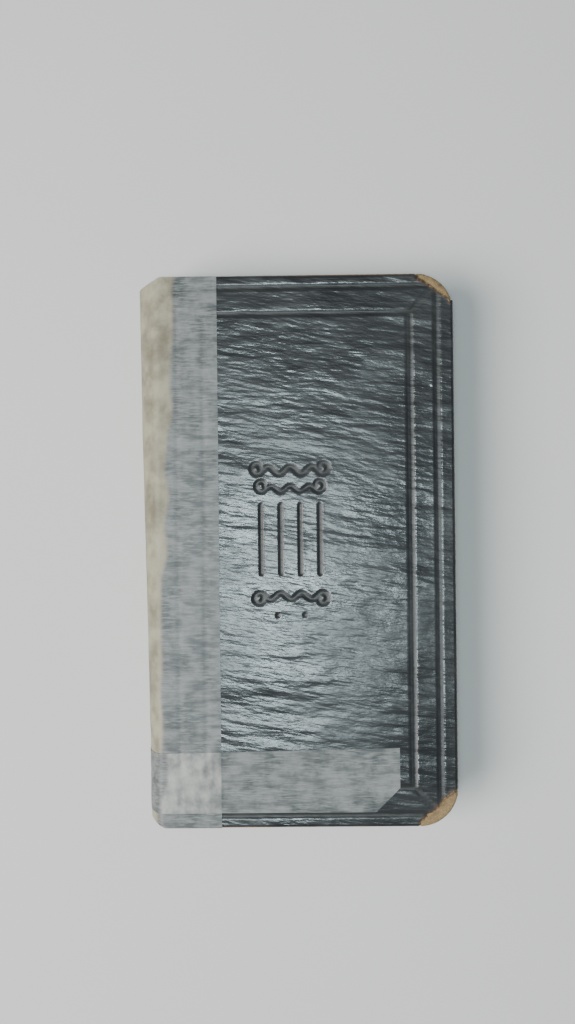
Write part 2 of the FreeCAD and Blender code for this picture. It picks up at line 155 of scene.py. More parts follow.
HEAD_LEAN = 1.7       # how much further the spine swells out at the head
WORN = {1: (9.8, 7.2), -1: (10.2, 9.8)}  # worn corners, along the ends and the fore-edge: head, tail
WEAR_SEED = 5
WORN_SINK = 1.4       # how far the worn leather's skin goes into the board
WORN_PULL = 2.2       # and how far inwards
BOARD_SPREAD = 0.5    # how far the bare board has frayed outwards
BOARD_CORNER = {"front": 9.2, "back": 6.2}
BOARD_INSET = 0.4
TAPE = 0.1            # how far the tape stands above the leather
TAPE_CUT = 6.0        # slanted cut at the tail tape's front end
SECTIONS = 12
LEAVES = 8            # leaves of a section
LEAF_CORNER = 4
PAPER_SHARE = 0.76    # how much of a leaf's pitch is paper


def smooth(t):
    t = np.clip(t, 0, 1)
    return t * t * (3 - 2 * t)


def noise(x, y, seed):
    """Smooth random values between -1 and 1, on a lattice with a step of one."""
    size = 257
    lattice = np.random.default_rng(seed).uniform(-1, 1, (size, size))
    i, j = np.floor(x).astype(int), np.floor(y).astype(int)
    u, v = smooth(x - i), smooth(y - j)
    i, j, right, up = i % size, j % size, (i + 1) % size, (j + 1) % size
    low = lattice[i, j] * (1 - u) + lattice[right, j] * u
    high = lattice[i, up] * (1 - u) + lattice[right, up] * u
    return low * (1 - v) + high * v


def graded(low, high, coarse, fine, places, reach):
    """Positions from low to high, closer together within reach of the places."""
    positions = [low]
    while positions[-1] < high:
        near = any(abs(positions[-1] - place) < reach for place in places)
        positions.append(positions[-1] + (fine if near else coarse))
    positions[-1] = high
    return np.array(positions)


# ------------------------------------------------------------------ meshes


class Shape:
    """Points, faces and point values of one piece, gathered before its mesh is made."""

    def __init__(self):
        self.points = []
        self.values = []
        self.pressed = []
        self.faces = []
        self.count = 0

    def add(self, points, values=0.0, pressed=0.0):
        """Adds an array of points, and returns their numbers in the same layout."""
        points = np.asarray(points, float)
        layout = points.shape[:-1]
        number = int(np.prod(layout))
        self.points.append(points.reshape(number, 3))
        self.values.append(np.broadcast_to(values, layout).reshape(number))
        self.pressed.append(np.broadcast_to(pressed, layout).reshape(number))
        first = self.count
        self.count += number
        return np.arange(first, self.count).reshape(layout)

    def grid(self, numbers):
        a, b, c, d = numbers[:-1, :-1], numbers[:-1, 1:], numbers[1:, 1:], numbers[1:, :-1]
        self.faces += np.stack([a, b, c, d], -1).reshape(-1, 4).tolist()

    def strip(self, first, second, closed=False):
        """Joins two rows of points of the same length."""
        if closed:
            first, second = np.append(first, first[0]), np.append(second, second[0])
        self.grid(np.stack([first, second]))

    def sheet(self, upper, lower, values=0.0):
        """A closed sheet between two grids of points."""
        top, bottom = self.add(upper, values), self.add(lower, values)
        self.grid(top)
        self.grid(bottom[:, ::-1])
        self.strip(rim(top), rim(bottom), closed=True)

    def make(self, name, material, value_name="value", sharp=None, mirrored=False):
        points = np.concatenate(self.points)
        place = points.copy()
        if mirrored:
            points[:, 2] = TOP - points[:, 2]
        mesh = bpy.data.meshes.new(name)
        mesh.from_pydata((points * MM).tolist(), [], self.faces)
        attribute = mesh.attributes.new("place", "FLOAT_VECTOR", "POINT")
        attribute.data.foreach_set("vector", place.astype(np.float32).ravel())
        for kind, values in ((value_name, self.values), ("pressed", self.pressed)):
            attribute = mesh.attributes.new(kind, "FLOAT", "POINT")
            attribute.data.foreach_set("value", np.concatenate(values).astype(np.float32))
        work = bmesh.new()
        work.from_mesh(mesh)
        bmesh.ops.recalc_face_normals(work, faces=work.faces)
        work.to_mesh(mesh)
        work.free()
        mesh.shade_smooth()
        if sharp is not None:
            mesh.set_sharp_from_angle(angle=math.radians(sharp))
        mesh.materials.append(material)
        piece = bpy.data.objects.new(name, mesh)
        bpy.context.scene.collection.objects.link(piece)
        return piece


def rim(numbers):
    """The border of a grid of point numbers, once round."""
    return np.concatenate(
        [numbers[0, :-1], numbers[:-1, -1], numbers[-1, :0:-1], numbers[:0:-1, 0]]
    )


# ------------------------------------------------------------------ the covers' section


class Section:
    """Outer line of the front half of the book, from the middle of the spine to the fore-edge."""

    STEP = 0.05

    def __init__(self):
        sweep = math.asin(MIDDLE / SPINE_RADIUS)
        self.hinge_length = SPINE_RADIUS * sweep
        margin = 8 * JOINT_SOFTNESS
        length = np.arange(-margin, self.hinge_length + FORE - HINGE + margin, self.STEP)
        angle = length / SPINE_RADIUS
        flat = length > self.hinge_length
        beyond = length - self.hinge_length
        x = np.where(flat, HINGE + beyond, SPINE_CENTRE - SPINE_RADIUS * np.cos(angle))
        z = np.where(flat, TOP, MIDDLE + SPINE_RADIUS * np.sin(angle))
        kernel = np.exp(-((np.arange(-margin, margin, self.STEP) / JOINT_SOFTNESS) ** 2) / 2)
        kernel /= kernel.sum()
        self.x = np.convolve(x, kernel, "same")
        self.z = np.convolve(z, kernel, "same")
        inside = (length >= 0) & (length <= self.hinge_length + FORE - HINGE)
        self.length = length[inside]
        run_x, run_z = np.gradient(self.x)[inside], np.gradient(self.z)[inside]
        self.x, self.z = self.x[inside], self.z[inside]
        run = np.hypot(run_x, run_z)
        self.normal_x, self.normal_z = -run_z / run, run_x / run

    def at(self, length):
        """x, z and the outward normal's x and z, at lengths from the middle of the spine."""
        lines = (self.x, self.z, self.normal_x, self.normal_z)
        return [np.interp(length, self.length, line) for line in lines]

    def length_at(self, x):
        return np.interp(x, self.x, self.length)

    def developed(self, length):
        """The x that a point would have with the spine unrolled."""
        return HINGE + length - self.hinge_length


SECTION = Section()


# ------------------------------------------------------------------ relief of the leather


def segment_distance(x, y, start, end):
    run = np.subtract(end, start)
    share = ((x - start[0]) * run[0] + (y - start[1]) * run[1]) / (run @ run)
    share = np.clip(share, 0, 1)
    return np.hypot(x - start[0] - share * run[0], y - start[1] - share * run[1])


def line_distance(x, y, line):
    distance = np.full(np.shape(x), 1e3)
    for start, end in zip(line[:-1], line[1:]):
        distance = np.minimum(distance, segment_distance(x, y, start, end))
    return distance


def groove(distance, width, depth):
    """A pressed line: round bottom, and edges that stand up a little."""
    floor = np.exp(-((distance / (0.55 * width)) ** 4))
    rim_height = np.exp(-(((distance - 0.95 * width) / (0.35 * width)) ** 2))
    return depth * (0.06 * rim_height - floor)


def frame_sides(index):
    return (
        HINGE + SPINE_LINES[index],
        FORE - FORE_LINES[index],
        HALF - END_LINES[index],
    )


def frame_distance(x, y):
    """Distance to the nearest tooled line of the border."""
    distance = np.full(np.shape(x), 1e3)
    for index in (0, 1):
        left, right, end = frame_sides(index)
        across = np.maximum(left - x, x - right)
        along = np.abs(y) - end
        outside = np.hypot(np.maximum(across, 0), np.maximum(along, 0))
        inside = np.minimum(np.maximum(across, along), 0)
        distance = np.minimum(distance, np.abs(outside + inside))
    (_, outer_x, outer_y), (_, inner_x, inner_y) = frame_sides(0), frame_sides(1)
    for sign in (1, -1):
        mitre = segment_distance(x, y, (outer_x, sign * outer_y), (inner_x, sign * inner_y))
        distance = np.minimum(distance, mitre)
    return distance


def scroll(half_width, height, lift):
    """A waving ribbon line that curls inwards at both ends."""
    t = np.linspace(-1, 1, 41)
    wave = np.stack([half_width * t, height + lift * np.cos(SCROLL_WAVES * math.pi * t)], 1)
    turn = np.linspace(0, 1.6 * math.pi, 12)
    radius = CURL * (1 - 0.45 * turn / turn[-1])
    x_curl = half_width + radius * np.sin(turn)
    y_curl = wave[-1, 1] + CURL - radius * np.cos(turn)
    curl = np.stack([x_curl, y_curl], 1)[1:]
    other = curl[::-1] * (-1, 1)
    return np.concatenate([other, wave, curl])


def ornament_lines():
    """Centre ornament: flutes between scrolls. It is symmetrical and stands for nothing."""
    lines = []
    for i in range(FLUTES):
        x = (i - (FLUTES - 1) / 2) * FLUTE_PITCH
        lines.append((np.array([(x, -FLUTE_HALF), (x, FLUTE_HALF)]), FLUTE_WIDTH))
    for half_width, height, lift, width in SCROLLS:
        line = scroll(half_width, abs(height), lift) * (1, math.copysign(1, height))
        lines.append((line, width))
    return lines


def ornament_height(x, y):
    height = np.zeros(np.shape(x))
    x, y = x - ORNAMENT[0], y - ORNAMENT[1]
    near = (np.abs(x) < ORNAMENT_HALF[0]) & (np.abs(y) < ORNAMENT_HALF[1])
    local_x, local_y = x[near], y[near]
    local = np.zeros(local_x.shape)
    for line, width in ornament_lines():
        pressed = groove(line_distance(local_x, local_y, line), width, ORNAMENT_DEPTH)
        local = np.where(np.abs(pressed) > np.abs(local), pressed, local)
    for sign in (1, -1):
        dot = np.hypot(local_x - sign * DOT[0], local_y - DOT[1])
        local += groove(dot, DOT_WIDTH, ORNAMENT_DEPTH)
    height[near] = local
    return height


def wrinkles(x, y, seed):
    """Long soft creases across the cover, which slant a little."""
    along = x * math.cos(WRINKLE_SLANT) - y * math.sin(WRINKLE_SLANT)
    across = x * math.sin(WRINKLE_SLANT) + y * math.cos(WRINKLE_SLANT)
    across = across + 0.5 * noise(along / 6, across / 5, seed)
    creases = 0.5 - np.abs(noise(along / 7, across / 1.5, seed + 1))
    fine = noise(along / 3.2, across / 0.75, seed + 2)
    broad = noise(x / 22, y / 10, seed + 3)
    patch = 0.65 + 0.45 * noise(x / 14, y / 11, seed + 4)
    folds = noise(along / 17, across / 3.1, seed + 5)
    return patch * (0.06 * creases + 0.015 * fine + 0.15 * folds) + 0.2 * broad


def tooling_height(x, y, side):
    """Blind tooling of a cover: the border lines, and the front cover's ornament."""
    height = groove(frame_distance(x, y), LINE_WIDTH, LINE_DEPTH)
    if side == "front":
        height = height + ornament_height(x, y)
    return height


def leather_height(x, y, side, tooling=1.0, creasing=1.0):
    """How far the leather stands above the plain cover, with the spine unrolled.

    It is level along the middle of the spine, where the front and back halves meet.
    """
    seed = {"front": 11, "back": 41}[side]
    creasing = creasing * smooth((x - SECTION.developed(0)) / 4)
    return creasing * wrinkles(x, y, seed) + tooling * tooling_height(x, y, side)


def end_drop(x, sign):
    """How far the worn spine end lies inside the cover's end."""
    drop = HEAD_DROP if sign > 0 else TAIL_DROP
    return drop * smooth((HINGE + 1.5 - x) / (BULGE + 1.5)) ** 0.8


def lean(x, y):
    """The spine's swelling towards the head, which leaves the hinge where it is."""
    return -HEAD_LEAN * smooth((y + HALF) / (2 * HALF)) * smooth((HINGE + 0.6 - x) / (BULGE + 0.6))


def wear(x, y, seed):
    """Below one where a fore-edge corner is worn through to the board."""
    value = np.full(np.shape(x), 9.0)
    for sign, (along, down) in WORN.items():
        a = np.maximum(FORE - x, 0) / along
        b = np.maximum(HALF - sign * y, 0) / down
        value = np.minimum(value, a + b)
    ragged = 0.07 * noise(x / 1.3, y / 1.3, seed) + 0.05 * noise(x / 0.5, y / 0.5, seed + 1)
    return value + ragged


# ------------------------------------------------------------------ leather skins


def skin_columns(side):
    """Lengths along the section, and the corner angle that each column has reached."""
    flat_end = FORE - CORNER
    lines = [frame_sides(index)[1] for index in (0, 1)]
    spine = np.linspace(0, SECTION.length_at(HINGE + 2), 20)
    if side == "front":
        ornament = np.arange(ORNAMENT[0] - 12, ORNAMENT[0] + 12, 0.5)
        cover = graded(HINGE + 2, flat_end, 0.8, 0.25, list(lines) + list(ornament), 0.9)
    else:
        cover = graded(HINGE + 2, flat_end, 1.2, 0.3, lines, 0.9)
    angles = np.linspace(0, math.pi / 2, 15)
    arc = flat_end + (CORNER - EDGE) * np.sin(angles)
    lengths = np.concatenate([spine[:-1], SECTION.length_at(cover[:-1]), SECTION.length_at(arc)])
    turned = np.concatenate([np.zeros(len(spine) + len(cover) - 2), angles])
    return lengths, turned


def skin_rows(side):
    """Shares of the distance from the middle to head (positive) or tail (negative)."""
    ends = [end for _, _, end in (frame_sides(0), frame_sides(1))]
    step = 0.34 if side == "front" else 0.6
    upper = graded(0, HALF - EDGE, step, 0.2, ends, 0.8)
    return np.concatenate([-upper[:0:-1], upper]) / (HALF - EDGE)


def skin_rings(total, width, edge):
    """(outwards, depth) steps from the outer face round the board's edge to under the outer face."""
    steps = []
    upper = np.minimum(edge, 0.45 * total)
    for turn in np.radians([22.5, 45, 67.5, 90]):
        steps.append((-edge + edge * math.sin(turn), upper * (1 - math.cos(turn))))
    lower = np.where(total > 1.5, 0.5, 0.3)
    for turn in np.radians([0, 30, 60, 90]):
        steps.append((-lower + lower * math.cos(turn), total - lower + lower * math.sin(turn)))
    steps.append((-1.6, total))
    steps.append((-width, total))
    steps.append((-width, total - 0.25))
    steps.append((-0.55, total - 0.25))
    steps.append((-0.55, LEATHER))
    steps.append((-2.0, LEATHER))
    return steps


def edge_rub(x, y, sign):
    """How far the leather's edges are rubbed through: most at the head, little at the fore-edge."""
    head = smooth((x - ORNAMENT[0]) / 4) * (sign > 0)
    tail = smooth((x - SPINE_TAPE_EDGE + 3) / 3) * smooth((SPINE_TAPE_EDGE + 14 - x) / 4) * (sign < 0)
    return np.clip(0.85 * head + 0.85 * tail + 0.25 + 0.5 * noise(x / 5, y / 5, 71), 0, 1)


def skin_ends(x, turned):
    """How far the columns reach towards the head (1) and the tail (-1)."""
    corner = np.where(turned > 0, CORNER - (CORNER - EDGE) * np.cos(turned), EDGE)
    return {sign: HALF - corner - end_drop(x, sign) for sign in (1, -1)}


def skin_wear(side, x, y):
    """Where the leather is worn away, and how brown its torn edge is."""
    if side == "back":
        return np.zeros(y.shape), np.zeros(y.shape)
    value = wear(x, y, WEAR_SEED)
    brown = np.exp(-((np.maximum(value - 1.0, 0) / 0.12) ** 2))
    return smooth((1.04 - value) / 0.12), brown


def corner_pull(x, y, worn):
    """How far worn leather is pulled in from its corner, along x and y."""
    out_x = np.maximum(x - FORE + CORNER, 0)
    out_y = np.maximum(np.abs(y) - HALF + CORNER, 0)
    reach = np.hypot(out_x, out_y) + 1e-6
    pulled = worn * WORN_PULL * smooth(1 - (CORNER - reach) / 4.5)
    return pulled * out_x / reach, pulled * np.sign(y) * out_y / reach


def border(values):
    """Values round the open border: along the tail, up the fore-edge, back along the head."""
    return np.concatenate([values[0, :], values[1:-1, -1], values[-1, ::-1]])


class Skin:
    """Leather of one cover and its half of the spine, turned in round the board's edges."""

    def __init__(self, side):
        self.side = side
        lengths, self.turned = skin_columns(side)
        self.x, self.z, self.normal_x, self.normal_z = SECTION.at(lengths)
        share = skin_rows(side)[:, None]
        ends = skin_ends(self.x, self.turned)
        self.y = np.where(share > 0, share * ends[1], share * ends[-1])
        self.flat_x = self.spread(SECTION.developed(lengths))
        self.plan_x = self.spread(self.x)
        self.height = leather_height(self.flat_x, self.y, side)
        self.worn, self.brown = skin_wear(side, self.plan_x, self.y)
        self.shape = Shape()

    def spread(self, line):
        return np.broadcast_to(line, self.y.shape)

    def outer_face(self):
        """Adds the outer face, and returns its points' numbers."""
        # This share of the tooling depth is stored as 'pressed'. The leather material uses it for painted
        # shade in the grooves and for roughness.
        tooled = np.clip(-tooling_height(self.flat_x, self.y, self.side) / LINE_DEPTH, 0, 1)
        pull_x, pull_y = corner_pull(self.plan_x, self.y, self.worn)
        surface = [
            self.plan_x + self.normal_x * self.height - pull_x + lean(self.plan_x, self.y),
            self.y - pull_y,
            self.z + self.normal_z * self.height - self.worn * WORN_SINK,
        ]
        top = self.shape.add(np.stack(surface, -1), self.brown, tooled)
        self.shape.grid(top)
        return top

    def turn_in(self, first):
        """Adds rings of points round the edges and under the board, and returns their numbers."""
        last = len(self.y) - 2
        angle = np.concatenate([self.turned, np.full(last, math.pi / 2), self.turned[::-1]])
        sign = np.concatenate([-np.ones(len(self.x)), np.zeros(last), np.ones(len(self.x))])
        out_x, out_y = np.sin(angle), np.where(sign == 0, 0, sign * np.cos(angle))
        x, y, z = border(self.plan_x), border(self.y), border(self.spread(self.z))
        normal_x, normal_z = border(self.spread(self.normal_x)), border(self.spread(self.normal_z))
        worn, height = border(self.worn), border(self.height)
        total = SPINE_SKIN + (SKIN - SPINE_SKIN) * smooth((x - HINGE - 0.5) / 1.4)
        width = SPINE_TURN_IN + (TURN_IN - SPINE_TURN_IN) * smooth((x - HINGE - 1) / 8)
        from_end = np.maximum(HALF - CORNER - np.abs(y), 0)
        from_corner = np.where(angle > 0, from_end, FORE - CORNER - x)
        width = np.minimum(width, CORNER_TURN_IN + np.maximum(from_corner, 0) * 0.9)
        rub = edge_rub(x, y, sign)
        rings = [first]
        steps = skin_rings(total, width, EDGE)
        for number, (outwards, depth) in enumerate(steps):
            fade = max(0.0, 1 - (number + 1) / 4)
            under_face = number < 3 or number > len(steps) - 3
            step = outwards + EDGE - worn * WORN_PULL
            drop = depth + worn * (WORN_SINK if under_face else 0) - height * fade
            ring_x = x + out_x * step - normal_x * drop + lean(x, y)
            ring = [ring_x, y + out_y * step, z - normal_z * drop]
            rubbed = rub * (0.75 if number in (1, 2) else 0.35 if number < 7 else 0)
            rings.append(self.shape.add(np.stack(ring, 1), rubbed))
            self.shape.strip(rings[-2], rings[-1])
        return rings

    def close(self, top, rings):
        """Closes the hollow under the outer face, and the end along the middle of the spine."""
        inner = rings[-1]
        columns = len(self.x)
        for j in range(columns - 2):
            self.shape.faces.append([inner[j], inner[j + 1], inner[-j - 2], inner[-j - 1]])
        self.shape.faces.append(inner[columns - 2 : len(inner) - columns + 2].tolist())
        head_end = [ring[-1] for ring in rings[1:]]
        tail_end = [ring[0] for ring in rings[:0:-1]]
        self.shape.faces.append(top[:, 0].tolist() + head_end + tail_end)


def cover_skin(side, material):
    skin = Skin(side)
    top = skin.outer_face()
    skin.close(top, skin.turn_in(border(top)))
    return skin.shape.make(f"{side}_cover_leather", material, "rub", mirrored=side == "back")


# ------------------------------------------------------------------ adhesive tape


def tape_sheet(side, name, material, lengths, low_y, high_y, lift, value):
    """A thin strip that follows the leather: lift and value are functions of x and y."""
    shape = Shape()
    x, z, normal_x, normal_z = SECTION.at(lengths)
    count = max(8, int((high_y(x) - low_y(x)).max() / 0.5))
    share = np.linspace(0, 1, count)[:, None]
    grid_y = low_y(x) + (high_y(x) - low_y(x)) * share
    plan_x = np.broadcast_to(x, grid_y.shape)
    flat_x = np.broadcast_to(SECTION.developed(lengths), grid_y.shape)
    height = leather_height(flat_x, grid_y, side, tooling=0.45, creasing=0.8)
    over = lift(flat_x, grid_y)
    faces = []
    for rise in (height + over + TAPE, height + over - 0.02):
        bent_x = plan_x + normal_x * rise + lean(plan_x, grid_y)
        faces.append(np.stack([bent_x, grid_y, z + normal_z * rise], -1))
    shape.sheet(faces[0], faces[1], value(flat_x, grid_y))
    return shape.make(name, material, "tape_tone", sharp=40, mirrored=side == "back")


def spine_end(sign):
    """The cover's end, less the worn drop of the spine, as a function of x."""
    return lambda x: sign * (HALF - 0.12 - end_drop(x, sign))


def cream(x, y):
    """Cream colour where the tape bends over the spine: wider at the head."""
    edge = HINGE + 1.2 + 4.6 * smooth((y + 50) / 115) + 1.0 * noise(x / 9, y / 7, 21)
    return 0.72 * smooth((edge - x) / 2.6) + 0.1 * noise(x / 3, y / 5, 22)


def tape_lengths(edge, columns):
    """Lengths along the section from the middle of the spine to the tape's edge."""
    flat = HINGE + 3
    bent_run = np.linspace(0, SECTION.length_at(flat), 22)[:-1]
    return np.concatenate([bent_run, SECTION.length_at(np.linspace(flat, edge, columns))])


def spine_tape(side, material):
    lengths = tape_lengths(SPINE_TAPE_EDGE, 26)

    def flat(x, y):
        return 0 * x

    return tape_sheet(
        side, f"spine_tape_{side}", material, lengths, spine_end(-1), spine_end(1), flat, cream
    )


def tail_tape(side, material):
    """The strip across the tail lies over the spine tape, so it steps up there."""
    low, high = TAIL_TAPE[side]
    lengths = tape_lengths(high.x, 2 * int(high.x - HINGE))
    cut = TAPE_CUT if side == "front" else 0.0
    spine_low = spine_end(-1)

    def lower(x):
        slant = np.maximum(0, x - (high.x - cut))
        return np.maximum(low.y + slant, spine_low(x) + 0.1)

    def upper(x):
        return high.y + 1.2 * (x - HINGE) / (FORE - HINGE) + 0 * x

    def lift(x, y):
        return (TAPE + 0.02) * smooth((SPINE_TAPE_EDGE + 0.35 - x) / 0.5)

    def value(x, y):
        doubled = smooth((SPINE_TAPE_EDGE + 0.2 - x) / 0.5)
        return -0.55 * doubled + 0.75 * cream(x - 1.5, y) * doubled

    return tape_sheet(side, f"tail_tape_{side}", material, lengths, lower, upper, lift, value)


# ------------------------------------------------------------------ boards, endpapers and leaves


def corner_reach(x, right, half, radius):
    """Half height of an outline with two round fore-edge corners, at each x."""
    past = np.clip(x - (right - radius), 0, radius)
    return half - radius + np.sqrt(np.maximum(radius ** 2 - past ** 2, 0))


def corner_columns(start, right, radius, step):
    """x positions: the given ones, an even run, then closer ones round the corners."""
    run = np.concatenate([start, np.arange(start[-1] + step, right - radius, step)])
    angles = np.linspace(0, math.pi / 2, 9)[:-1]
    return np.concatenate([run, right - radius + radius * np.sin(angles), [right - 0.002]])


def board(side, material):
    """Stiff board: its edges are soft, and frayed where the corners are bare."""
    left, right, half = BOARD_LOW.x, FORE - BOARD_INSET, HALF - BOARD_INSET
    radius = BOARD_CORNER[side]
    x = corner_columns([left], right, radius, 1.6)
    x = np.unique(np.concatenate([x, np.arange(right - 11, right - 0.2, 0.45)]))
    reach = corner_reach(x, right, half, radius)
    rows = graded(0, 1, 0.03, 0.006, [0.93], 0.08)
    rows = np.concatenate([-rows[:0:-1], rows])[:, None]
    y = rows * reach
    plan_x = np.broadcast_to(x, y.shape)
    inset = np.minimum(right - plan_x, (1 - np.abs(rows)) * reach)
    soft = 0.42 * (1 - smooth(inset / 0.9)) ** 2
    bevel = 0.5 * smooth((left + 1.8 - plan_x) / 1.8)
    fray = 0.05 * noise(plan_x / 0.7, y / 0.7, 31) + 0.04 * noise(plan_x / 2.2, y / 2.2, 32)
    if side == "front":
        bare = smooth((1.06 - wear(plan_x, y, WEAR_SEED)) / 0.1)
        spread = BOARD_SPREAD * bare * (1 - smooth(inset / 2.5))
        out_x = np.maximum(plan_x - right + radius, 0) + 0.5
        out_y = np.sign(y) * (np.maximum(np.abs(y) - half + radius, 0) + 0.5)
        length = np.hypot(out_x, out_y)
        plan_x, y = plan_x + spread * out_x / length, y + spread * out_y / length
    upper = np.stack([plan_x, y, BOARD_HIGH.z - soft - bevel + fray - 0.02], -1)
    lower = np.stack([plan_x, y, BOARD_LOW.z + soft + 0 * y], -1)
    shape = Shape()
    shape.sheet(upper, lower)
    return shape.make(f"{side}_cover_board", material, sharp=60, mirrored=side == "back")


def pastedown(side, material):
    """Endpaper glued inside a cover: the leather turn-ins show through as a low step."""
    left, right, half = HINGE + 0.25, PASTE_HIGH.x, PASTE_HIGH.y
    start = np.linspace(left, left + 6, 14)
    x = corner_columns(start, right, LEAF_CORNER, 1.5)
    reach = corner_reach(x, right, half, LEAF_CORNER)
    rows = np.linspace(-1, 1, 91)[:, None]
    y = rows * reach
    plan_x = np.broadcast_to(x, y.shape)
    from_edge = np.minimum(FORE - plan_x, HALF - np.abs(y))
    step = 0.24 * smooth((from_edge - 8.6) / 1.0) * smooth((plan_x - left - 1.5) / 2)
    bumps = 0.03 * noise(plan_x / 6, y / 6, 51) * smooth((plan_x - left - 1) / 3)
    low_z = PASTE_LOW.z + step + bumps
    sheet = [np.stack([plan_x, y, low_z + rise], -1) for rise in (0.12, 0.0)]
    shape = Shape()
    shape.sheet(sheet[0], sheet[1])
    return shape.make(f"{side}_endpaper_pasted", material, sharp=40, mirrored=side == "back")


def leaf_columns(left, right):
    start = left + np.array([0, 0.3, 0.7, 1.2, 1.8, 2.5, 3.3, 4.2, 5.2, 6.4, 7.8, 9.4, 12])
    return corner_columns(start, right, LEAF_CORNER, 6.0)


def flyleaf(side, material):
    """Free endpaper, a flat sheet."""
    low, high = node_box("front_flyleaf")
    x = leaf_columns(low.x, high.x - 0.2)
    reach = corner_reach(x, high.x - 0.2, LEAF_HIGH.y - 0.15, LEAF_CORNER)
    y = np.linspace(-1, 1, 25)[:, None] * reach
    plan_x = np.broadcast_to(x, y.shape)
    sheet = [np.stack([plan_x, y, z + 0 * y], -1) for z in (high.z, low.z)]
    shape = Shape()
    shape.sheet(sheet[0], sheet[1])
    return shape.make(f"{side}_endpaper_free", material, "tint", sharp=40, mirrored=side == "back")


def bifolium(shape, fold_x, middle_z, gap, right, half, pitch, tint):
    """One folded sheet: a leaf, the fold round the thread, and the other leaf."""
    thickness = PAPER_SHARE * pitch
    centre = fold_x + (LEAVES / 2 - 0.5) * pitch + thickness / 2
    columns = leaf_columns(centre, right)
    turn = np.linspace(math.pi / 2, 3 * math.pi / 2, 9)[1:-1]
    x = np.concatenate([columns[::-1], centre + gap * np.cos(turn), columns])
    z = np.concatenate([np.full(len(columns), gap), gap * np.sin(turn), np.full(len(columns), -gap)])
    run_x, run_z = np.gradient(x), np.gradient(z)
    run = np.hypot(run_x, run_z)
    reach = corner_reach(np.maximum(x, centre), right, half, LEAF_CORNER)
    rows = np.linspace(-1, 1, 7)[:, None]
    y = rows * reach
    offset = thickness / 2
    sheets = []
    for side in (1, -1):
        sheets.append(
            np.stack(
                [
                    np.broadcast_to(x + side * offset * run_z / run, y.shape),
                    y,
                    np.broadcast_to(middle_z + z - side * offset * run_x / run, y.shape),
                ],
                -1,
            )
        )
    shape.sheet(sheets[0], sheets[1], tint)


def section(number, material):
    """One sewn section of folded leaves, each cut a little unevenly.

    It reaches no further than the section opposite, so the fore-edge is evenly hollow.
    """
    low, high = node_box(f"section_{number:02d}")
    opposite = node_box(f"section_{SECTIONS + 1 - number:02d}")[1].x
    pitch = (high.z - low.z) / LEAVES
    rng = np.random.default_rng(number)
    shape = Shape()
    for fold in range(LEAVES // 2):
        gap = (LEAVES / 2 - 0.5 - fold) * pitch
        right = min(high.x, opposite) - abs(rng.normal(0, 0.1)) - 0.03
        half = high.y - abs(rng.normal(0, 0.07))
        tint = rng.uniform(0, 1)
        middle = (low.z + high.z) / 2
        bifolium(shape, low.x, middle, gap, right, half, pitch, tint)
    return shape.make(f"section_{number:02d}_pages", material, "tint", sharp=30)


# ------------------------------------------------------------------ endbands


def endband(sign, material):
    """A core wrapped with silk in two colours, following the rounded spine."""
    low, high = node_box("head_endband" if sign > 0 else "tail_endband")
    y = (low.y + high.y) / 2
    radius = (high.y - low.y) / 2
    centreline = SPINE_CENTRE - low.x - radius
    half_turn = math.asin(min(1.0, (high.z - low.z - 2 * radius) / 2 / centreline))
    along = np.linspace(-half_turn, half_turn, 121)
    around = np.linspace(0, 2 * math.pi, 13)[:-1]
    turns = along * centreline / 0.42
    wrap = radius * (0.93 + 0.07 * np.abs(np.sin(math.pi * turns)))
    out = wrap[:, None] * np.cos(around)
    x = SPINE_CENTRE - (centreline + out) * np.cos(along)[:, None]
    z = MIDDLE + (centreline + out) * np.sin(along)[:, None]
    points = np.stack([x, y + wrap[:, None] * np.sin(around), z], -1)
    stripe = np.broadcast_to((np.floor(turns) % 2)[:, None], x.shape)
    shape = Shape()
    numbers = shape.add(points, stripe)
    shape.grid(np.concatenate([numbers, numbers[:, :1]], 1))
    shape.faces.append(numbers[0].tolist())
    shape.faces.append(numbers[-1, ::-1].tolist())
    return shape.make("head_band" if sign > 0 else "tail_band", material, "stripe")


# ------------------------------------------------------------------ materials


